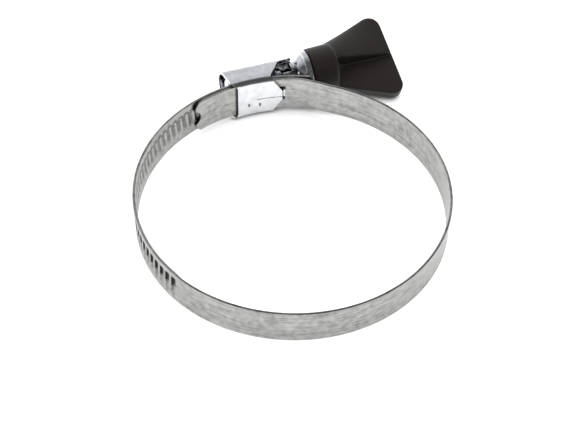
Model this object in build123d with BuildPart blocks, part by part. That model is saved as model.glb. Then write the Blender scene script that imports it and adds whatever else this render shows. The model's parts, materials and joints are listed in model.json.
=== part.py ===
"""Worm-drive hose clamp with a wing handle, in millimetres.

Origin: centre of the clamped hose, half way along the band's width.
+Z runs along the hose, +X along the screw towards its handle, +Y from the hose towards the housing.

The band is one steel strip. It lies in three layers under the worm: the housing's plate, the fixed end
(the tongue) and the threaded end. Away from the housing it is cut into rigid links, whose hinges stand
for its bending as the clamp tightens.
"""
from build123d import *
from math import atan, cos, degrees, pi, radians, sin
import os

# ---- driving dimensions ----------------------------------------------------------------------------------
HOSE_R = 35.0            # radius of the clamped hose at the largest setting
BAND_WIDTH = 9.0
BAND_THICK = 0.6
SHEET = 0.7              # housing sheet
LAYER_GAP = 0.03         # between sheets that lie on each other
PITCH = 2.0              # of the worm and of the band's grooves

PLATE_GAP = 0.1          # the housing's plate stands this far outside the hose
BUMP_DEPTH = 0.2         # inner side of each embossed groove
PRESSED_BUMP = 0.05      # ridge height where the band lies on the hose
GROOVE_DEPTH = 0.45
GROOVE_LENGTH = 6.0      # across the band
GROOVE_TOP = 1.2         # groove width at the band's face
GROOVE_FLOOR = 0.8       # and at its floor

CHAIN_START = 50.0       # the tongue strip ends and the first link starts here, in degrees
LINKS = 6
LINK_GAP = 0.03          # between two links
OPEN_GAP = 0.4           # between the last link and the threaded end, where the loop is open
TAIL_END = 63.0          # the threaded end's free tip, in degrees round its own arc
TONGUE_END = 114.4       # the tongue's tip, likewise
JOGGLE = (73.0, 54.0)    # the fixed strip steps down from the housing's layer to the hose between these
LOCK_ANGLE = 76.9        # the housing's tab goes through the fixed strip here

AXIS_Y = 40.2            # screw axis
WORM_CREST = 3.32
WORM_ROOT = 2.75
WORM_ENDS = (-3.3, 10.6)
CREST_WIDTH = 0.5
ROOT_WIDTH = 0.96
WORM_TURNS = 6.5
END_CHAMFER = 0.5
NECK_R = 1.9
CONE_START = (14.4, 3.4)
FLANGE_R = 5.75
FLANGE_X = (16.5, 17.9)
HEX_FLATS = 7.0
HEX_LENGTH = 6.0

TUNNEL_INNER = 4.1
TUNNEL_ENDS = (-4.0, 13.9)
COLLAR_X = 13.1          # the neck's collar runs from here to the tunnel's end
SHOULDER_Y = 37.8        # the tunnel's flanks meet the straight side walls here
WALL_Z = BAND_WIDTH / 2 + 0.4
LEFT_SLOPE = ((-3.4, 36.0), (-4.0, 46.0))             # left edge of walls and tunnel, in x and y
FOOT_Y = 30.0                                         # the housing's cuts start below the plate
WINDOW_SLOPE = ((6.4, FOOT_Y), (6.8, 36.1), (11.8, 43.4))  # right edge of the walls, up to the window's top
COLLAR_FOOT_Y = 38.2
PLATE_ENDS = (95.7, 76.3)
PLATE_POINT = ((6.7, 5.9), (9.7, 1.3))                # the plate narrows between these, in x and +-z
SEAM = (8.0, 0.08)
SEAM_CENTRE = (7.0, -0.5)
BEYOND = 10.0                                         # cutters reach this far past the part
TAB = (0.7, 2.0)
NOTCH_R = 2.1            # round notch in the tongue's tip
NOTCH_DEPTH = 1.5
TONGUE_CUT = (1.2, 1.4)  # cut corners of the tongue's tip, along and across the band
TAIL_CUT = (2.0, 2.0)    # and of the tail
LOCK_HOLE = (1.5, 4.0)   # hole in the fixed strip for the tab
HANDLE_TILT = 18.0       # of the wings, about the screw axis, at rest
HUB_ENDS = (18.1, 24.8)
HUB_R = (5.9, 6.2)
WING_START = 23.0
WING_END = 40.2
WING_CORNER = 12.9       # distance from the axis of the wing's corner before it is rounded
WING_ROUND = 3.0
WING_OVERLAP = 0.3       # past the centre plane, into the other wing
WING_BACK = 0.65         # each wing's flat back is this far behind the centre plane
WING_FRONT = 1.75        # and its end is this far in front of it

# ---- sizes that follow -----------------------------------------------------------------------------------
WALL_OUTER = WALL_Z + SHEET
PLATE_R = HOSE_R + PLATE_GAP
TONGUE_R = PLATE_R + SHEET + LAYER_GAP
THREAD_R = TONGUE_R + BAND_THICK + LAYER_GAP + BUMP_DEPTH + 0.02
THREAD_OUTER = THREAD_R + BAND_THICK
ARC_X = THREAD_R - HOSE_R            # the threaded end turns about this point on the X axis
WORM_START = ARC_X - 2.25 * PITCH    # so that a ridge sits in a groove at the band's highest point
PITCH_ANGLE = degrees(PITCH / (THREAD_OUTER - GROOVE_DEPTH / 2))
LEAD_ANGLE = degrees(atan(PITCH / (2 * pi * WORM_CREST)))
LINK_GROOVES = 9                     # grooves that run on over the last link
SEAM_GROOVE = 28.5                   # grooves from the worm's contact to the threaded strip's start
SEAM_ANGLE = 90 + SEAM_GROOVE * PITCH_ANGLE
LINK_TURN = (CHAIN_START + 360 - SEAM_ANGLE) / LINKS
edge = BAND_WIDTH / 2 + 0.1          # just past the band's edge


def polar(radius, angle, centre_x=0.0):
    """Point at a radius and an angle in degrees about (centre_x, 0)."""
    return (centre_x + radius * cos(radians(angle)), radius * sin(radians(angle)))


def clockwise(angle):
    """Unit tangent of a circle at an angle in degrees."""
    return (sin(radians(angle)), -cos(radians(angle)))


def radial_plane(radius, angle, centre_x=0.0):
    """Plane that touches a circle: its x runs counter-clockwise, its y up, its normal outwards."""
    x, y = polar(radius, angle, centre_x)
    return Plane(origin=(x, y, 0), x_dir=(-sin(radians(angle)), cos(radians(angle)), 0),
                 z_dir=(cos(radians(angle)), sin(radians(angle)), 0))


def strip_outline(inner, outer, first, last, centre_x=0.0):
    """Closed outline of a curved strip between two radii and two angles, inside a BuildLine."""
    middle = (first + last) / 2
    ThreePointArc(polar(inner, first, centre_x), polar(inner, middle, centre_x), polar(inner, last, centre_x))
    Line(polar(inner, last, centre_x), polar(outer, last, centre_x))
    ThreePointArc(polar(outer, last, centre_x), polar(outer, middle, centre_x), polar(outer, first, centre_x))
    Line(polar(outer, first, centre_x), polar(inner, first, centre_x))


def groove_cutters(outer, angles, centre_x):
    """One slanted trapezoid trough for each angle, as deep as a groove, open to the outside."""
    lift = 0.3
    spread = (GROOVE_TOP - GROOVE_FLOOR) / 2 / GROOVE_DEPTH * lift
    cutters = []
    for angle in angles:
        base = radial_plane(outer - GROOVE_DEPTH, angle, centre_x).rotated((0, 0, LEAD_ANGLE))
        top = base.offset(GROOVE_DEPTH + lift)
        with BuildPart() as cutter:
            with BuildSketch(base):
                RectangleRounded(GROOVE_FLOOR, GROOVE_LENGTH, GROOVE_FLOOR * 0.45)
            with BuildSketch(top):
                RectangleRounded(GROOVE_TOP + 2 * spread, GROOVE_LENGTH + 0.4, GROOVE_FLOOR * 0.45)
            loft()
        cutters.append(cutter.part)
    return cutters


def bump_solids(inner, angles, centre_x):
    """The groove's other side: a low slanted ridge on the band's inner face for each angle.
    Where the band lies on the hose the ridges are pressed nearly flat."""
    bumps = []
    for angle in angles:
        off_hose = inner + centre_x * cos(radians(angle)) - HOSE_R
        depth = min(BUMP_DEPTH, off_hose + PRESSED_BUMP)
        base = radial_plane(inner + 0.1, angle, centre_x).rotated((0, 0, LEAD_ANGLE))
        with BuildPart() as bump:
            with BuildSketch(base):
                RectangleRounded(GROOVE_TOP, GROOVE_LENGTH, GROOVE_FLOOR * 0.45)
            with BuildSketch(base.offset(-0.1 - depth)):
                RectangleRounded(GROOVE_FLOOR * 0.8, GROOVE_LENGTH - 0.6, GROOVE_FLOOR * 0.35)
            loft()
        bumps.append(bump.part)
    return bumps


os.makedirs("parts", exist_ok=True)

# ---- housing: tunnel, side walls, inner plate and collar, one folded sheet -------------------------------
with BuildPart() as housing:
    # closed section of tunnel and walls, hollow right through
    with BuildSketch(Plane.YZ.offset(TUNNEL_ENDS[0])):
        for radius, wall, foot, mode in (
            (TUNNEL_INNER + SHEET, WALL_Z + SHEET, HOSE_R - 1, Mode.ADD),
            (TUNNEL_INNER, WALL_Z, HOSE_R - 2, Mode.SUBTRACT),
        ):
            with BuildLine():
                ThreePointArc((AXIS_Y, radius), (AXIS_Y + radius, 0), (AXIS_Y, -radius))
                Polyline((AXIS_Y, -radius), (SHOULDER_Y, -wall), (foot, -wall), (foot, wall),
                         (SHOULDER_Y, wall), (AXIS_Y, radius))
            make_face(mode=mode)
    extrude(amount=TUNNEL_ENDS[1] - TUNNEL_ENDS[0])
    # sloped left end, window in front of the collar, and the hollow inside the plate
    with BuildSketch(Plane.XY.offset(-WALL_OUTER - 1)):
        with BuildLine():
            Polyline((LEFT_SLOPE[0][0], FOOT_Y), *LEFT_SLOPE, (-BEYOND, LEFT_SLOPE[1][1]), (-BEYOND, FOOT_Y),
                     close=True)
        make_face()
        with BuildLine():
            Polyline(*WINDOW_SLOPE, (COLLAR_X, WINDOW_SLOPE[2][1]), (COLLAR_X, COLLAR_FOOT_Y),
                     (2 * BEYOND, COLLAR_FOOT_Y), (2 * BEYOND, FOOT_Y), close=True)
        make_face()
        with Locations((ARC_X, 0)):
            Circle(PLATE_R)
    extrude(amount=2 * WALL_OUTER + 2, mode=Mode.SUBTRACT)
    # curved plate under the tongue
    with BuildSketch(Plane.XY.offset(-WALL_OUTER)):
        with BuildLine():
            strip_outline(PLATE_R, PLATE_R + SHEET, *PLATE_ENDS, ARC_X)
        make_face()
    extrude(amount=2 * WALL_OUTER)
    # the plate's end narrows to the tab
    with BuildSketch(Plane.XZ.offset(-PLATE_R - 1.6)):
        for side in (1, -1):
            with BuildLine():
                Polyline((PLATE_POINT[0][0], side * PLATE_POINT[0][1]),
                         (PLATE_POINT[1][0], side * PLATE_POINT[1][1]),
                         (2 * BEYOND, side * PLATE_POINT[1][1]), (2 * BEYOND, side * BEYOND),
                         (PLATE_POINT[0][0], side * BEYOND), close=True)
            make_face()
    extrude(amount=4, mode=Mode.SUBTRACT)
    # seam between the plate's two flaps
    with BuildSketch(Plane.XZ.offset(-PLATE_R - 1.6)):
        with Locations(SEAM_CENTRE):
            Rectangle(*SEAM)
    extrude(amount=4, mode=Mode.SUBTRACT)
    # tab bent out through the fixed strip
    with BuildSketch(radial_plane(PLATE_R + 0.2, LOCK_ANGLE, ARC_X)):
        with Locations((0, TAB[1] / 2 - 0.4)):
            Rectangle(*TAB)
    extrude(amount=SHEET + LAYER_GAP + BAND_THICK - 0.3)
    # collar round the screw's neck, open towards the band
    with BuildSketch(Plane.YZ.offset(COLLAR_X)):
        with Locations((AXIS_Y, 0)):
            Circle(TUNNEL_INNER + 0.1)
            Circle(NECK_R + 0.2, mode=Mode.SUBTRACT)
        with Locations((AXIS_Y - 3, 0)):
            Rectangle(6, 2 * NECK_R + 0.4, mode=Mode.SUBTRACT)
    extrude(amount=TUNNEL_ENDS[1] - COLLAR_X)
housing.part.label = "housing"
export_step(housing.part, "parts/housing.step")

# ---- fixed end of the band: tongue under the worm, step down to the hose ---------------------------------
with BuildPart() as fixed_end:
    with BuildSketch(Plane.XY.offset(-BAND_WIDTH / 2)):
        with BuildLine():
            corners = []
            for layer in (0, BAND_THICK):
                high = TONGUE_R + layer
                low = HOSE_R + layer
                tip = polar(high, TONGUE_END, ARC_X)
                step = polar(high, JOGGLE[0], ARC_X)
                landing = polar(low, JOGGLE[1])
                end = polar(low, CHAIN_START)
                ThreePointArc(tip, polar(high, 90, ARC_X), step)
                Spline(step, landing, tangents=(clockwise(JOGGLE[0]), clockwise(JOGGLE[1])))
                ThreePointArc(landing, polar(low, (JOGGLE[1] + CHAIN_START) / 2), end)
                corners.append((tip, end))
            Line(corners[0][0], corners[1][0])
            Line(corners[0][1], corners[1][1])
        make_face()
    extrude(amount=BAND_WIDTH)
    # tongue tip: round notch between two cut corners
    with BuildSketch(radial_plane(TONGUE_R - 1, TONGUE_END, ARC_X)):
        with Locations((NOTCH_R - NOTCH_DEPTH, 0)):
            Circle(NOTCH_R)
        for side in (1, -1):
            with BuildLine():
                Polyline((1, side * (edge - TONGUE_CUT[1])), (0, side * (edge - TONGUE_CUT[1])),
                         (-TONGUE_CUT[0], side * edge), (-TONGUE_CUT[0], side * BEYOND), (1, side * BEYOND),
                         close=True)
            make_face()
    extrude(amount=3, mode=Mode.SUBTRACT)
    # hole for the housing's tab
    with BuildSketch(radial_plane(TONGUE_R - 1, LOCK_ANGLE, ARC_X)):
        Rectangle(*LOCK_HOLE)
    extrude(amount=3, mode=Mode.SUBTRACT)
fixed_end.part.label = "band_fixed_end"
export_step(fixed_end.part, "parts/band_fixed_end.step")

# ---- threaded end of the band: passes between tongue and worm --------------------------------------------
groove_count = int((90 - TAIL_END - 3) / PITCH_ANGLE)
groove_angles = [90 + k * PITCH_ANGLE for k in range(-groove_count, int(SEAM_GROOVE) + 1)]
troughs = groove_cutters(THREAD_OUTER, groove_angles, ARC_X)
ridges = bump_solids(THREAD_R, groove_angles, ARC_X)
with BuildPart() as threaded_end:
    with BuildSketch(Plane.XY.offset(-BAND_WIDTH / 2)):
        with BuildLine():
            strip_outline(THREAD_R, THREAD_OUTER, SEAM_ANGLE, TAIL_END, ARC_X)
        make_face()
    extrude(amount=BAND_WIDTH)
    add(ridges)
    add(troughs, mode=Mode.SUBTRACT)
    with BuildSketch(radial_plane(THREAD_R - 1, TAIL_END, ARC_X)):
        for side in (1, -1):
            with BuildLine():
                Polyline((-1, side * (edge - TAIL_CUT[1])), (0, side * (edge - TAIL_CUT[1])),
                         (TAIL_CUT[0], side * edge), (TAIL_CUT[0], side * BEYOND), (-1, side * BEYOND),
                         close=True)
            make_face()
    extrude(amount=3, mode=Mode.SUBTRACT)
threaded_end.part.label = "band_threaded_end"
export_step(threaded_end.part, "parts/band_threaded_end.step")

# ---- links: the rest of the band, clockwise from the fixed end to the threaded end -----------------------
link_pitch = degrees(PITCH / (HOSE_R + BAND_THICK - GROOVE_DEPTH / 2))
for number in range(1, LINKS + 1):
    first = CHAIN_START - (number - 1) * LINK_TURN - degrees(LINK_GAP / HOSE_R)
    last = CHAIN_START - number * LINK_TURN
    troughs = []
    ridges = []
    if number == LINKS:
        last += degrees(OPEN_GAP / HOSE_R)
        groove_angles = [SEAM_ANGLE + (k + 0.5) * link_pitch for k in range(LINK_GROOVES)]
        troughs = groove_cutters(HOSE_R + BAND_THICK, groove_angles, 0)
        ridges = bump_solids(HOSE_R, groove_angles, 0)
    with BuildPart() as link:
        with BuildSketch(Plane.XY.offset(-BAND_WIDTH / 2)):
            with BuildLine():
                strip_outline(HOSE_R, HOSE_R + BAND_THICK, first, last)
            make_face()
        extrude(amount=BAND_WIDTH)
        if number == LINKS:
            add(ridges)
            add(troughs, mode=Mode.SUBTRACT)
    link.part.label = f"band_link_{number}"
    export_step(link.part, f"parts/band_link_{number}.step")

# ---- worm screw: thread, neck, coned head with a flange, drive hex ---------------------------------------
screw_axis = Axis((0, AXIS_Y, 0), (1, 0, 0))
with BuildLine() as helix_line:
    Helix(PITCH, WORM_TURNS * PITCH, WORM_ROOT, center=(WORM_START, AXIS_Y, 0), direction=(1, 0, 0))
helix = helix_line.wires()[0]
with BuildPart() as screw:
    with BuildSketch(Plane.XY):
        with BuildLine():
            Polyline((WORM_ENDS[0], AXIS_Y), (WORM_ENDS[0], AXIS_Y + WORM_ROOT - END_CHAMFER),
                     (WORM_ENDS[0] + END_CHAMFER, AXIS_Y + WORM_ROOT), (WORM_ENDS[1], AXIS_Y + WORM_ROOT),
                     (WORM_ENDS[1] + END_CHAMFER, AXIS_Y + NECK_R), (CONE_START[0], AXIS_Y + NECK_R),
                     (CONE_START[0], AXIS_Y + CONE_START[1]),
                     (FLANGE_X[0], AXIS_Y + FLANGE_R - 0.3), (FLANGE_X[0], AXIS_Y + FLANGE_R),
                     (FLANGE_X[1], AXIS_Y + FLANGE_R), (FLANGE_X[1], AXIS_Y), close=True)
        make_face()
    revolve(axis=screw_axis)
    with BuildSketch(Plane.YZ.offset(FLANGE_X[1])):
        with Locations((AXIS_Y, 0)):
            RegularPolygon(HEX_FLATS / 2, 6, major_radius=False)
    extrude(amount=HEX_LENGTH)
    with BuildSketch(Plane(origin=helix @ 0, x_dir=(1, 0, 0), z_dir=helix % 0)):
        with BuildLine():
            Polyline((-ROOT_WIDTH / 2, -0.1), (-CREST_WIDTH / 2, WORM_CREST - WORM_ROOT),
                     (CREST_WIDTH / 2, WORM_CREST - WORM_ROOT), (ROOT_WIDTH / 2, -0.1), close=True)
        make_face()
    sweep(path=helix, is_frenet=True)
screw.part.label = "worm_screw"
export_step(screw.part, "parts/worm_screw.step")

# ---- wing handle: hub on the drive hex, two wings ---------------------------------------------------------
# one wing about the X axis, out along +Y: it runs from the hub's round side to a thin straight end
root = HUB_R[1] - 0.1
with BuildPart() as wing:
    with BuildSketch(Plane.YZ.offset(WING_START)):
        with BuildLine():
            Polyline((-WING_OVERLAP, root), (-WING_OVERLAP, -WING_BACK), (root, -WING_BACK), (root, 0))
            ThreePointArc((root, 0), polar(root, 45), (0, root))
            Line((0, root), (-WING_OVERLAP, root))
        make_face()
    with BuildSketch(Plane.YZ.offset(WING_END)):
        with BuildLine():
            Polyline((-WING_OVERLAP, WING_FRONT), (-WING_OVERLAP, -WING_BACK), (WING_CORNER + 1, -WING_BACK),
                     (WING_CORNER + 1, WING_FRONT), (0, WING_FRONT), (-WING_OVERLAP, WING_FRONT))
        make_face()
    loft(ruled=True)
    with BuildSketch(Plane.XY.offset(-BEYOND)) as outline:
        with BuildLine():
            Polyline((WING_START, -1), (WING_START, root), (HUB_ENDS[1], root), (WING_END, WING_CORNER),
                     (WING_END, -1), close=True)
        make_face()
        tip = outline.vertices().sort_by(Axis.Y)[-1]
        fillet(tip, radius=WING_ROUND)
    extrude(amount=2 * BEYOND, mode=Mode.INTERSECT)
with BuildPart() as handle:
    with BuildSketch(Plane.XY):
        with BuildLine():
            Polyline((HUB_ENDS[0], AXIS_Y), (HUB_ENDS[0], AXIS_Y + HUB_R[0]),
                     (HUB_ENDS[1] - 1, AXIS_Y + HUB_R[1]),
                     (HUB_ENDS[1], AXIS_Y + HUB_R[1] - 0.8), (HUB_ENDS[1] + 0.5, AXIS_Y), close=True)
        make_face()
    revolve(axis=screw_axis)
    for turn in (0, 180):
        add(wing.part.rotate(Axis.X, HANDLE_TILT + turn).moved(Location((0, AXIS_Y, 0))))
    with BuildSketch(Plane.YZ.offset(HUB_ENDS[0])):
        with Locations((AXIS_Y, 0)):
            RegularPolygon(HEX_FLATS / 2 + 0.02, 6, major_radius=False)
    extrude(amount=HEX_LENGTH, mode=Mode.SUBTRACT)
handle.part.label = "wing_handle"
export_step(handle.part, "parts/wing_handle.step")
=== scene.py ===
"""Looks of the hose clamp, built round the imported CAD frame. Metres; +Z along the hose, +X along screw."""
import json
import math

import bmesh
import bpy
import numpy as np
from mathutils import Matrix, Vector


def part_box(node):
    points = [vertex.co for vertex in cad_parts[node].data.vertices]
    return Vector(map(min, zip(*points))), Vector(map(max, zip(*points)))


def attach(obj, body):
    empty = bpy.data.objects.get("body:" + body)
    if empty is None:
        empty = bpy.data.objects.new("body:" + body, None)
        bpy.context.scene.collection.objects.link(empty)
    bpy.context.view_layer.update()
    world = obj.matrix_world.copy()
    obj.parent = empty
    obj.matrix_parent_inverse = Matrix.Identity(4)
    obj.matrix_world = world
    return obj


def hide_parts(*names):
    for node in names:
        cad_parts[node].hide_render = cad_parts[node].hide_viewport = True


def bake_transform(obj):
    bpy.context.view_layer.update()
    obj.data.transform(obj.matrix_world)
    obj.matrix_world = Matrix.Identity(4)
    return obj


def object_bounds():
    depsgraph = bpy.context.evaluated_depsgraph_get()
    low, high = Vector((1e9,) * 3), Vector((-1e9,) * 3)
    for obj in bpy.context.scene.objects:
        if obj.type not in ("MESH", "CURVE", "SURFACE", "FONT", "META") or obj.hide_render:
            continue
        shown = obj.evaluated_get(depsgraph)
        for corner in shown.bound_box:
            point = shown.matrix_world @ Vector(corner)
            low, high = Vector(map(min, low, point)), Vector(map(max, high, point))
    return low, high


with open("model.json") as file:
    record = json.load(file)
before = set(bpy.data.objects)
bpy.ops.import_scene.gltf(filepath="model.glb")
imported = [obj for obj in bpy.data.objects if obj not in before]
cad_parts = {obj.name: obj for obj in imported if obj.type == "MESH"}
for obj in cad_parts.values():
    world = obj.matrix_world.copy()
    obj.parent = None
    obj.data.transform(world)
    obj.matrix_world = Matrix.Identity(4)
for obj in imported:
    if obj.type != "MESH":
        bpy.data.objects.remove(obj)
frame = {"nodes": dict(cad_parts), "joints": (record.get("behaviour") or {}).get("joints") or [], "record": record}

cad_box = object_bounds()
MM = 0.001
TAU = 2 * math.pi

# ---- sizes, in metres, from the frame -------------------------------------------------------------------
joints = {joint["name"]: joint for joint in frame["joints"]}
mount = frame["record"]["mounts"][0]
HOSE_R = mount["dims"]["r_mm"] * MM
HALF_WIDTH = mount["dims"]["length_mm"] * MM / 2
AXIS_Y = joints["screw_turn"]["pos_m"][1]
ARC_X = joints["band_feed"]["pos_m"][0]
THREAD_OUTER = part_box("band_threaded_end")[1][1]
GROOVE_MIDDLE_R = 37.055 * MM              # middle of the grooves' depth, about (ARC_X, 0)
PITCH = TAU * GROOVE_MIDDLE_R * next(c["ratio"] for c in frame["record"]["behaviour"]["couplings"]
                                     if c["joint"] == "band_feed")


# ---- camera, lights, floor ------------------------------------------------------------------------------
CAMERA_AZIMUTH = -20.0
CAMERA_ELEVATION = 47.99
CAMERA_ROLL = 1.40
CAMERA_DISTANCE = 0.2709
CAMERA_PAN = (-1.21 * MM, -3.88 * MM)
LENS = 75.13


def make_camera():
    azimuth, elevation = math.radians(CAMERA_AZIMUTH), math.radians(CAMERA_ELEVATION)
    roll = math.radians(CAMERA_ROLL)
    back = Vector((math.sin(azimuth) * math.cos(elevation), -math.cos(azimuth) * math.cos(elevation),
                   math.sin(elevation)))
    level = Vector((math.cos(azimuth), math.sin(azimuth), 0))
    upright = back.cross(level)
    right = math.cos(roll) * level + math.sin(roll) * upright
    up = -math.sin(roll) * level + math.cos(roll) * upright
    place = CAMERA_DISTANCE * back + CAMERA_PAN[0] * right + CAMERA_PAN[1] * up
    camera = bpy.data.objects.new("camera", bpy.data.cameras.new("camera"))
    camera.data.lens = LENS
    camera.data.sensor_width = 36
    camera.data.clip_start = 0.01
    camera.matrix_world = Matrix.Translation(place) @ Matrix((right, up, back)).transposed().to_4x4()
    bpy.context.collection.objects.link(camera)
    bpy.context.scene.camera = camera


def area_light(name, place, target, size, power):
    light = bpy.data.objects.new(name, bpy.data.lights.new(name, "AREA"))
    light.data.shape = "RECTANGLE"
    light.data.size, light.data.size_y = size
    light.data.energy = power
    light.location = place
    light.rotation_euler = (Vector(target) - Vector(place)).to_track_quat("-Z", "Y").to_euler()
    bpy.context.collection.objects.link(light)
    return light


def make_stage():
    """Pale floor under the clamp, the room and one soft overhead light."""
    lowest = cad_box[0][2]
    mesh = bpy.data.meshes.new("floor")
    reach = 3.0
    mesh.from_pydata([(-reach, -reach, lowest), (reach, -reach, lowest), (reach, reach, lowest),
                      (-reach, reach, lowest)], [], [(0, 1, 2, 3)])
    floor = bpy.data.objects.new("floor", mesh)
    bpy.context.collection.objects.link(floor)
    pale = bpy.data.materials.new("pale floor")
    pale.use_nodes = True
    shader = pale.node_tree.nodes["Principled BSDF"]
    shader.inputs["Base Color"].default_value = (0.92, 0.92, 0.92, 1)
    shader.inputs["Roughness"].default_value = 0.9
    shader.inputs["Specular IOR Level"].default_value = 0.0
    mesh.materials.append(pale)
    make_world()
    bpy.context.scene.view_settings.view_transform = "Standard"
    overhead = area_light("overhead", (0, 0, 0.9), (0, 0, 0), (1.6, 1.6), 26)
    overhead.visible_glossy = False


def make_world():
    """A dim room with a bright wall behind the clamp: the plated faces mirror it."""
    world = bpy.data.worlds.new("studio")
    bpy.context.scene.world = world
    world.use_nodes = True
    nodes, links = world.node_tree.nodes, world.node_tree.links
    where = nodes.new("ShaderNodeTexCoord")
    axes = nodes.new("ShaderNodeSeparateXYZ")
    links.new(where.outputs["Generated"], axes.inputs["Vector"])
    behind = nodes.new("ShaderNodeMapRange")
    behind.inputs["From Min"].default_value = 0.15
    behind.inputs["From Max"].default_value = 0.65
    behind.inputs["To Min"].default_value = 0.12
    behind.inputs["To Max"].default_value = 0.86
    links.new(axes.outputs["Y"], behind.inputs["Value"])
    low = nodes.new("ShaderNodeMapRange")
    low.inputs["From Min"].default_value = 0.45
    low.inputs["From Max"].default_value = 0.05
    low.inputs["To Max"].default_value = 0.28
    links.new(axes.outputs["Z"], low.inputs["Value"])
    total = nodes.new("ShaderNodeMath")
    links.new(behind.outputs["Result"], total.inputs[0])
    links.new(low.outputs["Result"], total.inputs[1])
    background = nodes["Background"]
    background.inputs["Color"].default_value = (0.96, 0.97, 1.0, 1)
    links.new(total.outputs["Value"], background.inputs["Strength"])


# ---- materials ------------------------------------------------------------------------------------------
def metal(name, colour, roughness, grain, bump, stretch=(1, 1, 1), contrast=0.3):
    """Plated steel: streaks and mottling in colour, roughness and a shallow bump.
    The mesh attribute "recess" is painted shade: it darkens the metal to near black where it's 1."""
    material = bpy.data.materials.new(name)
    material.use_nodes = True
    nodes, links = material.node_tree.nodes, material.node_tree.links
    shader = nodes["Principled BSDF"]
    shader.inputs["Metallic"].default_value = 1.0
    where = nodes.new("ShaderNodeTexCoord")
    mapping = nodes.new("ShaderNodeMapping")
    mapping.inputs["Scale"].default_value = stretch
    links.new(where.outputs["Object"], mapping.inputs["Vector"])
    streaks = nodes.new("ShaderNodeTexNoise")
    streaks.inputs["Scale"].default_value = grain
    streaks.inputs["Detail"].default_value = 6
    streaks.inputs["Roughness"].default_value = 0.7
    links.new(mapping.outputs["Vector"], streaks.inputs["Vector"])
    mottle = nodes.new("ShaderNodeTexNoise")
    mottle.inputs["Scale"].default_value = 700
    mottle.inputs["Detail"].default_value = 4
    links.new(where.outputs["Object"], mottle.inputs["Vector"])
    half = nodes.new("ShaderNodeMath")
    half.operation = "MULTIPLY"
    half.inputs[1].default_value = 0.35
    links.new(mottle.outputs["Fac"], half.inputs[0])
    mixed = nodes.new("ShaderNodeMath")
    mixed.operation = "MULTIPLY_ADD"
    mixed.inputs[1].default_value = 0.65
    links.new(streaks.outputs["Fac"], mixed.inputs[0])
    links.new(half.outputs[0], mixed.inputs[2])
    spread = nodes.new("ShaderNodeMapRange")
    spread.inputs["From Min"].default_value = 0.38
    spread.inputs["From Max"].default_value = 0.62
    links.new(mixed.outputs[0], spread.inputs["Value"])
    tint = nodes.new("ShaderNodeMix")
    tint.data_type = "RGBA"
    tint.inputs["A"].default_value = (*[c * (1 - contrast) for c in colour], 1)
    tint.inputs["B"].default_value = (*[min(1, c * (1 + contrast)) for c in colour], 1)
    links.new(spread.outputs["Result"], tint.inputs["Factor"])
    # painted shade: the "recess" attribute mixes the colour towards near black
    shade = nodes.new("ShaderNodeAttribute")
    shade.attribute_name = "recess"
    dark = nodes.new("ShaderNodeMix")
    dark.data_type = "RGBA"
    dark.inputs["B"].default_value = (0.012, 0.011, 0.011, 1)
    links.new(shade.outputs["Fac"], dark.inputs["Factor"])
    links.new(tint.outputs["Result"], dark.inputs["A"])
    links.new(dark.outputs["Result"], shader.inputs["Base Color"])
    rough = nodes.new("ShaderNodeMapRange")
    rough.inputs["To Min"].default_value = roughness * 0.8
    rough.inputs["To Max"].default_value = roughness * 1.25
    links.new(spread.outputs["Result"], rough.inputs["Value"])
    links.new(rough.outputs["Result"], shader.inputs["Roughness"])
    relief = nodes.new("ShaderNodeBump")
    relief.inputs["Strength"].default_value = 0.5
    relief.inputs["Distance"].default_value = bump
    links.new(mixed.outputs[0], relief.inputs["Height"])
    links.new(relief.outputs["Normal"], shader.inputs["Normal"])
    return material


def plastic(name, colour):
    """Satin moulded plastic with a fine grain and slightly cloudy gloss."""
    material = bpy.data.materials.new(name)
    material.use_nodes = True
    nodes, links = material.node_tree.nodes, material.node_tree.links
    shader = nodes["Principled BSDF"]
    where = nodes.new("ShaderNodeTexCoord")
    grain = nodes.new("ShaderNodeTexNoise")
    grain.inputs["Scale"].default_value = 3500
    grain.inputs["Detail"].default_value = 3
    cloud = nodes.new("ShaderNodeTexNoise")
    cloud.inputs["Scale"].default_value = 180
    cloud.inputs["Detail"].default_value = 3
    for noise in (grain, cloud):
        links.new(where.outputs["Object"], noise.inputs["Vector"])
    tint = nodes.new("ShaderNodeMix")
    tint.data_type = "RGBA"
    tint.inputs["A"].default_value = (*[c * 0.85 for c in colour], 1)
    tint.inputs["B"].default_value = (*[c * 1.15 for c in colour], 1)
    links.new(cloud.outputs["Fac"], tint.inputs["Factor"])
    links.new(tint.outputs["Result"], shader.inputs["Base Color"])
    rough = nodes.new("ShaderNodeMapRange")
    rough.inputs["To Min"].default_value = 0.42
    rough.inputs["To Max"].default_value = 0.58
    links.new(cloud.outputs["Fac"], rough.inputs["Value"])
    links.new(rough.outputs["Result"], shader.inputs["Roughness"])
    relief = nodes.new("ShaderNodeBump")
    relief.inputs["Strength"].default_value = 0.35
    relief.inputs["Distance"].default_value = 0.02 * MM
    links.new(grain.outputs["Fac"], relief.inputs["Height"])
    links.new(relief.outputs["Normal"], shader.inputs["Normal"])
    shader.inputs["Specular IOR Level"].default_value = 0.35
    return material


band_steel = metal("band steel", (0.325, 0.325, 0.315), 0.34, 130, 0.06 * MM, (1, 1, 30), 0.4)
housing_plate = metal("housing plate", (0.59, 0.595, 0.61), 0.14, 260, 0.04 * MM, contrast=0.12)
screw_plate = metal("screw plate", (0.60, 0.61, 0.63), 0.07, 300, 0.03 * MM, contrast=0.2)
handle_plastic = plastic("handle plastic", (0.009, 0.007, 0.006))


# ---- mesh helpers ---------------------------------------------------------------------------------------
def add_object(name, vertices, faces, material):
    mesh = bpy.data.meshes.new(name)
    mesh.from_pydata([tuple(v) for v in vertices], [], faces)
    mesh.validate()
    mesh.materials.append(material)
    mesh.shade_smooth()
    made = bpy.data.objects.new(name, mesh)
    bpy.context.collection.objects.link(made)
    return made


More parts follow.
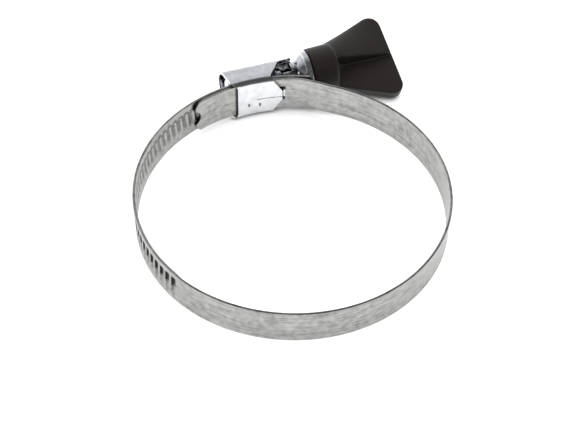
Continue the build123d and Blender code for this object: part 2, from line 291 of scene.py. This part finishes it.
def grid_faces(rows, columns, close_columns=False):
    """Quads of a grid whose vertex number is row * columns + column."""
    faces = []
    for row in range(rows - 1):
        for column in range(columns if close_columns else columns - 1):
            a = row * columns + column
            b = row * columns + (column + 1) % columns
            c = (row + 1) * columns + (column + 1) % columns
            d = (row + 1) * columns + column
            faces.append((a, b, c, d))
    return faces


def smoothstep(low, high, value):
    t = np.clip((np.asarray(value, float) - low) / (high - low), 0, 1)
    return t * t * (3 - 2 * t)


def outward(made):
    """Turns every face of a closed mesh outwards."""
    shape = bmesh.new()
    shape.from_mesh(made.data)
    bmesh.ops.recalc_face_normals(shape, faces=shape.faces)
    shape.to_mesh(made.data)
    shape.free()


def apply_modifiers(made):
    """Replaces the object's mesh by what its modifiers make of it."""
    graph = bpy.context.evaluated_depsgraph_get()
    graph.update()
    made.data = bpy.data.meshes.new_from_object(made.evaluated_get(graph), depsgraph=graph)
    made.modifiers.clear()


# ---- band: one strip, cut at the middle of each link ----------------------------------------------------
BAND_THICK = 0.6 * MM
THREAD_R = THREAD_OUTER - BAND_THICK       # inner face of the threaded end, about (ARC_X, 0)
TONGUE_R = 35.83 * MM
TONGUE_END = 112.0                         # polar angle of the tongue's tip about the hose's centre
JOGGLE = (73.0, 54.0)
# the tab's hole is only a shallow dent in the band, painted near black as shade
LOCK_ANGLE = 74.8                          # hole for the housing's tab, about the hose's centre
LOCK_HOLE = (0.62 * MM, 2.0 * MM)
CHAIN_START = 50.0
GROOVE_STEP = 3.09247                      # degrees about (ARC_X, 0)
SEAM_GROOVE = 28.5
SEAM = 178.1
LINKS = 6
LINK_TURN = (CHAIN_START + 360 - 90 - SEAM_GROOVE * GROOVE_STEP) / LINKS
LINK_STEP = math.degrees(PITCH / (HOSE_R + BAND_THICK - 0.225 * MM))
LINK_GROOVES = 9
TAIL_END = 61.5
SLANT = PITCH / (TAU * 3.32 * MM)          # the grooves follow the worm's thread
GROOVE_HALF = (0.6 * MM, 3.0 * MM)
GROOVE_CORNER = 0.35 * MM
GROOVE_DEPTH = 0.45 * MM
BUMP_HALF = (0.92 * MM, 3.1 * MM)
BUMP_CORNER = 0.8 * MM
BUMP_HEIGHT = 0.2 * MM
PRESSED_BUMP = 0.05 * MM
FLARE = 0.14 * MM                          # the plain band's edges turn out by this much
EDGE_ROUND = 0.27 * MM
SHEARED_ROUND = 0.05 * MM


def arc_radius(angle, radius):
    """Distance from the hose's centre to a circle about (ARC_X, 0), towards an angle in degrees."""
    a = np.radians(angle)
    return ARC_X * np.cos(a) + np.sqrt(radius ** 2 - (ARC_X * np.sin(a)) ** 2)


def fixed_radius(angle):
    step = smoothstep(-JOGGLE[0], -JOGGLE[1], -np.asarray(angle, float))
    return arc_radius(angle, TONGUE_R) * (1 - step) + HOSE_R * step


def ring_radius(angle):
    return np.full(np.shape(angle), HOSE_R)


def threaded_radius(angle):
    return arc_radius(angle, THREAD_R)


def threaded_groove(angle):
    """Groove number at a polar angle on the threaded end; whole numbers are the grooves' middles."""
    a = np.radians(angle)
    radius = arc_radius(angle, THREAD_OUTER)
    about = np.degrees(np.arctan2(radius * np.sin(a), radius * np.cos(a) - ARC_X))
    return (about - 90) / GROOVE_STEP


def link_groove(angle):
    return SEAM_GROOVE + (np.asarray(angle, float) - SEAM) / LINK_STEP


EDGE_ROWS = np.array([0, 0.012, 0.035, 0.07, 0.12, 0.18, 0.25, 0.34, 0.5, 0.7, 0.9, 1.1]) * MM
middle_rows = np.arange(-3.3, 3.31, 0.15) * MM
WIDTH_ROWS = np.concatenate([-HALF_WIDTH + EDGE_ROWS, middle_rows, (HALF_WIDTH - EDGE_ROWS)[::-1]])


def rounded_box(along, across, half_along, half_across, corner):
    """Signed distance to a rounded rectangle, negative inside."""
    dx = np.abs(along) - half_along + corner
    dy = np.abs(across) - half_across + corner
    outside = np.hypot(np.maximum(dx, 0), np.maximum(dy, 0))
    return outside + np.minimum(np.maximum(dx, dy), 0) - corner


def band_strip(name, angles, radius, groove=None, groove_range=None, plain=None, shape_end=None):
    """A closed strip of band along polar angles in degrees.
    groove gives the groove number at an angle, and groove_range the first and last number that are pressed;
    plain is 1 where the edges are rolled and 0 where they are sheared."""
    angle, z = np.meshgrid(np.asarray(angles, float), WIDTH_ROWS, indexing="ij")
    if groove is not None:
        ends = np.minimum(np.abs(angle - angles[0]), np.abs(angle - angles[-1]))
        angle = angle + np.degrees(SLANT * z / HOSE_R) * smoothstep(0, 1.5, ends)
    if shape_end is not None:
        angle = shape_end(angle, z)
    rolled = np.ones_like(angle) if plain is None else plain(angle)
    inner = radius(angle)
    flare = FLARE * rolled * smoothstep(3.2 * MM, HALF_WIDTH, np.abs(z))
    corner = EDGE_ROUND * rolled + SHEARED_ROUND * (1 - rolled)
    beyond = np.maximum(np.abs(z) - (HALF_WIDTH - corner), 0)
    half = BAND_THICK / 2 - corner + np.sqrt(np.maximum(corner ** 2 - beyond ** 2, 0))
    middle = inner + BAND_THICK / 2 + flare
    outer_r, inner_r = middle + half, middle - half
    # painted shade for the outer and inner faces, stored in the "recess" attribute
    outer_shade = np.zeros_like(angle)
    inner_shade = np.zeros_like(angle)
    if groove is not None:
        number = groove(angle - np.degrees(SLANT * z / HOSE_R))
        nearest = np.clip(np.round(number), *groove_range)
        along = (number - nearest) * PITCH
        gap = rounded_box(along, z, *GROOVE_HALF, GROOVE_CORNER)
        recess = smoothstep(0.06 * MM, -0.14 * MM, gap)
        spoon = np.sqrt(np.clip(1 - (z / (GROOVE_HALF[1] + 0.3 * MM)) ** 2, 0, 1))
        # painted shade in each groove: near black in its upper part, fading to faint in its lower part
        upper = smoothstep(-0.9 * MM, 0.1 * MM, z)
        outer_shade = smoothstep(0.2 * MM, 0.04 * MM, gap) * (0.1 + 0.9 * upper)
        swell = rounded_box(along, z, *BUMP_HALF, BUMP_CORNER)
        bump = smoothstep(0.05 * MM, -0.75 * MM, swell)
        room = np.clip(inner - HOSE_R + PRESSED_BUMP, 0, BUMP_HEIGHT)
        outer_r = outer_r - GROOVE_DEPTH * recess * spoon
        inner_r = inner_r - room * bump
        # painted shade on the inner bumps' flanks, crests left bright, fading out towards the band's lower edge
        crest = smoothstep(-0.35 * MM, -0.7 * MM, swell)
        flank = smoothstep(0.25 * MM, -0.1 * MM, swell) * (1 - crest)
        inner_shade = 0.6 * flank * smoothstep(-2.2 * MM, -0.8 * MM, z)
    if shape_end is tongue_tip:
        # painted shade: near black over the tab's hole, which is only a shallow dent
        lock = rounded_box(np.radians(angle - LOCK_ANGLE) * TONGUE_R, z, *LOCK_HOLE, 0.3 * MM)
        # painted shadow: a dark line on the band along the plate's left edge, under the plate's lip
        from_plate = inner * np.cos(np.radians(angle)) - PLATE_X[0]
        under = smoothstep(-0.75 * MM, -0.3 * MM, from_plate) * smoothstep(1.2 * MM, 0.8 * MM, from_plate)
        inner_shade = np.maximum(smoothstep(0.06 * MM, -0.06 * MM, lock), 0.9 * under)
        inner_r = inner_r + 0.45 * MM * smoothstep(0.05 * MM, -0.15 * MM, lock)
        # painted shadow: the outer face and end of the tongue's last degrees, in the gap under the threaded end
        outer_shade = smoothstep(TONGUE_END - 4, TONGUE_END - 3, angle)
    a = np.radians(angle)
    count, width = angle.shape
    loops = np.empty((count, 2 * width, 3))
    for side, r in ((0, outer_r), (1, inner_r)):
        points = np.stack([r * np.cos(a), r * np.sin(a), z], axis=-1)
        loops[:, side * width:(side + 1) * width] = points if side == 0 else points[:, ::-1]
    faces = grid_faces(count, 2 * width, close_columns=True)
    for end in (0, (count - 1) * 2 * width):
        for i in range(width - 1):
            faces.append((end + i, end + i + 1, end + 2 * width - 2 - i, end + 2 * width - 1 - i))
    made = add_object(name, loops.reshape(-1, 3), faces, band_steel)
    # the painted shade goes into the "recess" attribute
    attribute = made.data.attributes.new("recess", "FLOAT", "POINT")
    both = np.concatenate([outer_shade, inner_shade[:, ::-1]], axis=1)
    attribute.data.foreach_set("value", both.reshape(-1).astype(np.float32))
    outward(made)
    made.data.shade_smooth()
    made.data.set_sharp_from_angle(angle=math.radians(50))
    return made


def tongue_tip(angle, z):
    """Round notch between cut corners at the tongue's tip."""
    notch = np.sqrt(np.maximum((2.1 * MM) ** 2 - z ** 2, 0)) - 0.6 * MM
    cut = np.maximum(np.abs(z) - 3.1 * MM, 0) * 0.9
    back = np.degrees(np.maximum(np.maximum(notch, 0), cut) / TONGUE_R)
    reach = smoothstep(TONGUE_END - 12, TONGUE_END, angle)
    return angle - back * reach


def tail_tip(angle, z):
    cut = np.maximum(np.abs(z) - 2.4 * MM, 0) * 0.95
    back = np.degrees(cut / THREAD_R)
    return angle + back * smoothstep(TAIL_END + 8, TAIL_END, angle)


def steps(first, last, step):
    return np.linspace(first, last, max(2, int(round(abs(last - first) / step)) + 1))


def make_band():
    """Strips from the tongue clockwise to the seam, each spanning one hinge, then the threaded end."""
    hinges = [CHAIN_START - i * LINK_TURN for i in range(LINKS)]
    cuts = [TONGUE_END] + [h - LINK_TURN / 2 for h in hinges]
    cuts[-1] = SEAM - 360 + (LINK_GROOVES + 0.9) * LINK_STEP
    for i, hinge in enumerate(hinges):
        name = f"band_run_{i + 1}"
        angles = steps(cuts[i], cuts[i + 1], 0.5 if i else 0.4)
        run = band_strip(name, angles, fixed_radius if i == 0 else ring_radius,
                         shape_end=tongue_tip if i == 0 else None,
                         plain=tongue_edges if i == 0 else None)
        node = "band_fixed_end" if i == 0 else f"band_link_{i}"
        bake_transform(run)
        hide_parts(node)
    per_groove = 16
    count = int((LINK_GROOVES + 0.5) * per_groove)
    first = SEAM + 0.02
    grooved = first + np.arange(count + 1) * LINK_STEP / per_groove
    rest = steps(grooved[-1], cuts[-1] + 360, 0.5)[1:]
    run = band_strip("band_run_7", np.concatenate([grooved, rest]), ring_radius, link_groove,
                     (29, 28 + LINK_GROOVES), plain=lambda angle: smoothstep(205.5, 210.5, angle))
    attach(run, "link_6")
    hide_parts("band_link_6")
    spacing = GROOVE_STEP / per_groove
    angles = np.arange(TAIL_END, SEAM, spacing)
    run = band_strip("band_threads", np.append(angles, SEAM), threaded_radius, threaded_groove,
                     (-7, 28), plain=np.zeros_like, shape_end=tail_tip)
    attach(run, "threaded_end")
    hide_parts("band_threaded_end")


def tongue_edges(angle):
    """The strip's edges are sheared under the housing and rolled past it."""
    return smoothstep(-70, -58, -angle)


# ---- housing: one folded sheet, its collar and its locking tab ------------------------------------------
SHEET = 0.7 * MM
PLATE_MIDDLE = 35.45 * MM                  # middle of the plate's thickness, about (ARC_X, 0)
TUNNEL_MIDDLE = 4.45 * MM
WALL_MIDDLE = 5.25 * MM
SHOULDER_Y = 37.0 * MM                     # above this the walls lean in to meet the tunnel's round
shoulder = Vector((AXIS_Y - SHOULDER_Y, WALL_MIDDLE))
LEAN = math.acos(TUNNEL_MIDDLE / shoulder.length) - math.atan2(shoulder.x, shoulder.y)
LEAN_Y = AXIS_Y + TUNNEL_MIDDLE * math.sin(LEAN)
FOLD = 0.95 * MM
PLATE_X = (-1.84 * MM, 6.5 * MM, 9.4 * MM)  # left edge, where the point starts, tip
POINT_Z = (5.6 * MM, 1.3 * MM)
SEAM_Z = -0.5 * MM
TAB_CENTRE = (9.85 * MM, 34.775 * MM, 0.6 * MM)
TAB_SIZE = (0.62 * MM, 1.15 * MM, 2.4 * MM)
WALL_BASE_Y = 36.0 * MM
WINDOW_FOOT = (6.75 * MM, 36.1 * MM)       # the window's slope starts here
WINDOW_SLOPE = 0.685                       # mm along X per mm up
WINDOW_TOP = (41.3 * MM, 41.9 * MM)        # above this the tunnel runs on to the collar
LEFT_X = -3.4 * MM
LEFT_SLOPE = 0.066
STAKES = ((0.8 * MM, -1.9 * MM), (3.6 * MM, -2.3 * MM))


def plate_y(x):
    return np.sqrt(PLATE_MIDDLE ** 2 - (x - ARC_X) ** 2)


def wall_right(y):
    """Right-hand edge of walls and tunnel: sloped, then out to the collar over the top."""
    slope = WINDOW_FOOT[0] + np.maximum(y - WINDOW_FOOT[1], 0) * WINDOW_SLOPE
    return slope + (COLLAR_X[1] - slope) * smoothstep(*WINDOW_TOP, y)


def wall_left(y):
    return LEFT_X - np.maximum(y - WALL_BASE_Y, 0) * LEFT_SLOPE


def housing_rows(side):
    """Rows of the folded sheet from the seam to the tunnel's crown, each a function of t from 0 to 1."""
    t = np.linspace(0, 1, 111)
    rows = []
    for depth in np.linspace(0, 1, 30):
        z_flat = SEAM_Z + (side * (WALL_MIDDLE - FOLD) - SEAM_Z) * depth
        point = np.clip((abs(z_flat) - POINT_Z[1]) / (POINT_Z[0] - POINT_Z[1]), 0, 1)
        right = PLATE_X[2] + (PLATE_X[1] - PLATE_X[2]) * point
        x = PLATE_X[0] + (right - PLATE_X[0]) * t
        gap = 0.006 * MM + 0.075 * MM * smoothstep(2.9 * MM, 3.2 * MM, x)
        z = z_flat + side * gap * (1 - depth)
        y = plate_y(x) + 0.16 * MM * smoothstep(-0.85 * MM, -1.25 * MM, x)
        for stake_x, stake_z in STAKES:
            away = np.hypot(x - stake_x, (z - stake_z) * 0.7)
            dent = smoothstep(0.5 * MM, 0.25 * MM, away) * smoothstep(-0.25 * MM, 0.15 * MM, x - stake_x)
            y = y + 0.3 * MM * dent
        rows.append((x, y, z))
    fold_right = rows[-1][0][-1]
    for turn in np.radians(np.arange(15, 91, 15)):
        share = turn / (math.pi / 2)
        left = PLATE_X[0] + (wall_left(0) - PLATE_X[0]) * share
        right = fold_right + (wall_right(0) - fold_right) * share
        x = left + (right - left) * t
        y = plate_y(x) + FOLD * (1 - math.cos(turn))
        rows.append((x, y, np.full_like(x, side * (WALL_MIDDLE - FOLD + FOLD * math.sin(turn)))))
    for share in np.linspace(0.1, 1, 12):
        level = WALL_BASE_Y + (LEAN_Y - WALL_BASE_Y) * share
        left, right = wall_left(level), wall_right(level)
        x = left + (right - left) * t
        foot = plate_y(x) + FOLD
        y = foot + (LEAN_Y - foot) * share
        z = WALL_MIDDLE - np.maximum(y - SHOULDER_Y, 0) * math.tan(LEAN)
        rows.append((x, y, side * z))
    for turn in np.radians(np.concatenate([np.arange(13.5, 26, 1.25), np.arange(28, 90, 4)])):
        y = AXIS_Y + TUNNEL_MIDDLE * math.sin(turn)
        left, right = wall_left(y), float(wall_right(y))
        x = left + (right - left) * t
        rows.append((x, np.full_like(x, y), np.full_like(x, side * TUNNEL_MIDDLE * math.cos(turn))))
    return rows


def make_housing():
    """The folded sheet, its collar and its tab."""
    upper, lower = housing_rows(1), housing_rows(-1)
    crown_x = upper[-1][0]
    crown = [(crown_x, np.full_like(crown_x, AXIS_Y + TUNNEL_MIDDLE), np.zeros_like(crown_x))]
    rows = upper + crown + lower[::-1]
    points = np.stack([np.stack(row, axis=-1) for row in rows])
    sheet = add_object("housing_sheet", points.reshape(-1, 3), grid_faces(len(rows), points.shape[1]),
                       housing_plate)
    thick = sheet.modifiers.new("thickness", "SOLIDIFY")
    thick.thickness = SHEET
    thick.offset = 0
    rim = sheet.modifiers.new("rim", "BEVEL")
    rim.width = 0.12 * MM
    rim.segments = 3
    rim.limit_method = "ANGLE"
    rim.angle_limit = math.radians(55)
    apply_modifiers(sheet)
    outward(sheet)
    sheet.data.shade_smooth()
    shade_stakes(sheet.data)
    collar = make_collar()
    tab = rounded_block("housing_tab", TAB_CENTRE, TAB_SIZE, 0.2 * MM, housing_plate)
    for piece in (sheet, collar, tab):
        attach(piece, "housing")
    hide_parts("housing")


def shade_stakes(mesh):
    """Paints near-black shade on the right-hand half of each of the two staking marks in the plate's inner face.
    """
    where = np.empty(len(mesh.vertices) * 3)
    mesh.vertices.foreach_get("co", where)
    x, y, z = where.reshape(-1, 3).T
    value = np.zeros_like(x)
    for stake_x, stake_z in STAKES:
        away = np.hypot(x - stake_x, (z - stake_z) * 0.7)
        # painted shade: a near-black crescent on one side of each stake's dent
        crescent = smoothstep(0.5 * MM, 0.36 * MM, away) * smoothstep(-0.02 * MM, 0.14 * MM, x - stake_x)
        value = np.maximum(value, 0.97 * crescent * (y < plate_y(x) + 0.3 * MM))
    attribute = mesh.attributes.new("recess", "FLOAT", "POINT")
    attribute.data.foreach_set("value", value.astype(np.float32))


def rounded_block(name, centre, size, radius, material):
    shape = bmesh.new()
    bmesh.ops.create_cube(shape, size=1)
    bmesh.ops.scale(shape, vec=size, verts=shape.verts)
    bmesh.ops.translate(shape, vec=centre, verts=shape.verts)
    bmesh.ops.bevel(shape, geom=shape.edges[:], offset=radius, segments=4, profile=0.5, affect="EDGES")
    mesh = bpy.data.meshes.new(name)
    shape.to_mesh(mesh)
    shape.free()
    mesh.materials.append(material)
    mesh.shade_smooth()
    made = bpy.data.objects.new(name, mesh)
    bpy.context.collection.objects.link(made)
    return made


def prism(name, outline, place, depth, bevel, material):
    """A closed outline [(a, b)] extruded; place(a, b, d) gives a point at depth d."""
    count = len(outline)
    vertices = [place(a, b, d) for d in (0, depth) for a, b in outline]
    faces = [tuple(range(count))[::-1], tuple(range(count, 2 * count))]
    faces += [(i, (i + 1) % count, count + (i + 1) % count, count + i) for i in range(count)]
    made = add_object(name, vertices, faces, material)
    outward(made)
    rim = made.modifiers.new("rim", "BEVEL")
    rim.width = bevel
    rim.segments = 3
    rim.limit_method = "ANGLE"
    rim.angle_limit = math.radians(50)
    apply_modifiers(made)
    made.data.shade_smooth()
    made.data.set_sharp_from_angle(angle=math.radians(50))
    return made


COLLAR_X = (13.1 * MM, 13.9 * MM)
NECK_HOLE = 2.1 * MM
COLLAR_R = 3.9 * MM
COLLAR_FOOT = -2.0 * MM


def make_collar():
    """Upright sheet at the tunnel's end, open below, with the hole that the screw's neck turns in."""
    start = math.asin(COLLAR_FOOT / COLLAR_R)
    outer = [(COLLAR_R * math.sin(a), COLLAR_R * math.cos(a))
             for a in np.linspace(start, math.pi - start, 40)]
    inner = [(NECK_HOLE * math.sin(a), NECK_HOLE * math.cos(a))
             for a in np.linspace(math.pi, 0, 24)]
    outline = outer + [(COLLAR_FOOT, -NECK_HOLE)] + inner + [(COLLAR_FOOT, NECK_HOLE)]
    return prism("housing_collar", outline, lambda a, b, d: (COLLAR_X[0] + d, AXIS_Y + a, b),
                 COLLAR_X[1] - COLLAR_X[0], 0.08 * MM, housing_plate)


# ---- worm screw -----------------------------------------------------------------------------------------
WORM_CREST = 3.32 * MM
WORM_ROOT = 2.75 * MM
WORM_X = (-2.9 * MM, 10.5 * MM)
WORM_FADE = 0.5 * MM                       # the thread rises from the root over this length at both ends
SCREW_START = ((-3.3, 0.0), (-3.3, 1.6), (-3.25, 2.1), (-3.1, 2.4), (-2.95, 2.7))
SCREW_HEAD = ((10.6, 2.7), (10.75, 2.6), (11.0, 2.2), (11.2, 1.95), (11.5, 1.9), (14.2, 1.9), (14.35, 2.0),
              (14.4, 2.6), (14.45, 3.25), (14.6, 3.45), (16.2, 5.1), (16.42, 5.25), (16.5, 5.4), (16.53, 5.6),
              (16.62, 5.7), (16.75, 5.75), (17.0, 5.75), (17.1, 5.7), (17.16, 5.6), (17.24, 5.56),
              (17.32, 5.6), (17.38, 5.7), (17.48, 5.75), (17.68, 5.75), (17.8, 5.7), (17.88, 5.6),
              (17.9, 5.4), (17.9, 3.6), (23.8, 3.5), (23.9, 3.3), (23.9, 0.0))


def make_screw():
    """One turned surface: start, thread wound on the root, neck, cone, flange and drive."""
    around = np.linspace(0, TAU, 96, endpoint=False)
    stations = [(x * MM, np.full_like(around, r * MM)) for x, r in SCREW_START]
    for x in np.arange(WORM_X[0], WORM_X[1], 0.08 * MM):
        turn = (x - (ARC_X - PITCH / 2)) / PITCH - around / TAU
        off = np.abs(turn - np.round(turn)) * PITCH
        ridge = smoothstep(0.5 * MM, 0.22 * MM, off)
        first = smoothstep(WORM_X[0], WORM_X[0] + WORM_FADE, x)
        last = smoothstep(WORM_X[1], WORM_X[1] - WORM_FADE, x)
        stations.append((x, WORM_ROOT + (WORM_CREST - WORM_ROOT) * ridge * (first * last)))
    stations += [(x * MM, np.full_like(around, r * MM)) for x, r in SCREW_HEAD]
    points = np.stack([np.stack([np.full_like(around, x), AXIS_Y + r * np.cos(around), r * np.sin(around)],
                                axis=-1) for x, r in stations])
    made = add_object("screw_body", points.reshape(-1, 3),
                      grid_faces(len(stations), len(around), close_columns=True), screw_plate)
    shape = bmesh.new()
    shape.from_mesh(made.data)
    bmesh.ops.remove_doubles(shape, verts=shape.verts, dist=1e-7)
    bmesh.ops.recalc_face_normals(shape, faces=shape.faces)
    shape.to_mesh(made.data)
    shape.free()
    made.data.shade_smooth()
    made.data.set_sharp_from_angle(angle=math.radians(55))
    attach(made, "screw")
    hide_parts("worm_screw")


# ---- wing handle ----------------------------------------------------------------------------------------
HANDLE_TILT = math.radians(18)
WING_X = (23.0 * MM, 40.6 * MM)
WING_CORNER = 12.75 * MM
WING_ROUND = 3.0 * MM
WING_BACK = 0.65 * MM
WING_FRONT = 1.75 * MM
WING_SHORT = 0.55 * MM                     # the upper wing's end stands back by this much
HUB = ((18.1, 0.0), (18.1, 5.4), (18.15, 5.7), (18.3, 5.87), (18.6, 5.93), (23.8, 6.18), (24.2, 6.12),
       (24.5, 5.9), (24.7, 5.5), (24.9, 4.8), (25.1, 3.8), (25.5, 2.6), (26.2, 1.6), (27.2, 1.0), (27.6, 0.0))
HUB_EDGE = 6.05 * MM
SPREAD_X = 24.4 * MM                       # the wings spread from here
WING_OVERLAP = 0.4 * MM                    # past the screw's axis, so that the wings join
HANDLE_VOXEL = 0.15 * MM


def wing_edge(x, end):
    """How far out the wing reaches at x: a slanted side and a rounded corner."""
    slope = (WING_CORNER - HUB_EDGE) / (WING_X[1] - SPREAD_X)
    line = HUB_EDGE + np.maximum(x - SPREAD_X, 0) * slope
    lean = math.atan(slope)
    reach = WING_ROUND / math.tan((math.pi / 2 - lean) / 2)
    corner = HUB_EDGE + (end - SPREAD_X) * slope
    centre = (end - WING_ROUND, corner - reach)
    start = centre[0] - WING_ROUND * math.sin(lean)
    circle = centre[1] + np.sqrt(np.maximum(WING_ROUND ** 2 - (np.maximum(x, start) - centre[0]) ** 2, 0))
    return np.where(x > start, circle, line)


def wing_mesh(shape, turn, end):
    """One wing added to a bmesh: flat back, and a front that runs from the hub's round side to a thin end."""
    stations = np.concatenate([np.linspace(WING_X[0], end - WING_ROUND, 26)[:-1],
                               end - WING_ROUND + WING_ROUND * np.sin(np.linspace(0, math.pi / 2, 15))])
    share = np.linspace(0, 1, 17)
    rings = []
    for x in stations:
        along = (x - WING_X[0]) / (WING_X[1] - WING_X[0])
        edge = float(wing_edge(np.array(x), end))
        out = share * edge
        full = HUB_EDGE + (WING_CORNER - HUB_EDGE) * along
        turned = np.arccos(np.clip(out / full, 0, 1))
        front = (1 - along) * HUB_EDGE * np.sin(turned) + along * WING_FRONT
        front = np.maximum(front, WING_FRONT * 0.8 * along)
        front_row = [(x, o, f) for o, f in zip(out, front)]
        back_row = [(x, o, -WING_BACK) for o in out[::-1]]
        low_row = [(x, -WING_OVERLAP, -WING_BACK), (x, -WING_OVERLAP, front[0])]
        rings.append([shape.verts.new(turned_point(point, turn)) for point in front_row + back_row + low_row])
    count = len(rings[0])
    for a, b in zip(rings, rings[1:]):
        for i in range(count):
            j = (i + 1) % count
            shape.faces.new((a[i], a[j], b[j], b[i]))
    shape.faces.new(rings[0][::-1])
    shape.faces.new(rings[-1])


def turned_point(point, turn):
    x, out, front = point
    c, s = math.cos(HANDLE_TILT + turn), math.sin(HANDLE_TILT + turn)
    return Vector((x, AXIS_Y + out * c - front * s, out * s + front * c))


def make_handle():
    """Hub and two wings, joined into one moulding with soft edges."""
    around = np.linspace(0, TAU, 96, endpoint=False)
    points = np.stack([np.stack([np.full_like(around, x * MM), AXIS_Y + r * MM * np.cos(around),
                                 r * MM * np.sin(around)], axis=-1) for x, r in HUB])
    hub = add_object("handle_wings", points.reshape(-1, 3),
                     grid_faces(len(HUB), len(around), close_columns=True), handle_plastic)
    shape = bmesh.new()
    shape.from_mesh(hub.data)
    bmesh.ops.remove_doubles(shape, verts=shape.verts, dist=1e-7)
    wing_mesh(shape, 0.0, WING_X[1] - WING_SHORT)
    wing_mesh(shape, math.pi, WING_X[1])
    bmesh.ops.recalc_face_normals(shape, faces=shape.faces)
    shape.to_mesh(hub.data)
    shape.free()
    remesh = hub.modifiers.new("one moulding", "REMESH")
    remesh.mode = "VOXEL"
    remesh.voxel_size = HANDLE_VOXEL
    soften = hub.modifiers.new("soft edges", "SMOOTH")
    soften.factor = 0.5
    soften.iterations = 12
    apply_modifiers(hub)
    hub.data.shade_smooth()
    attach(hub, "screw")
    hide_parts("wing_handle")


def paint(node, material):
    """Gives a CAD node its material."""
    mesh_object = frame["nodes"][node]
    mesh_object.data.materials.clear()
    mesh_object.data.materials.append(material)


for name in frame["nodes"]:
    paint(name, band_steel)
paint("housing", housing_plate)
paint("worm_screw", screw_plate)
paint("wing_handle", handle_plastic)

make_band()
make_housing()
make_screw()
make_handle()
make_camera()
make_stage()
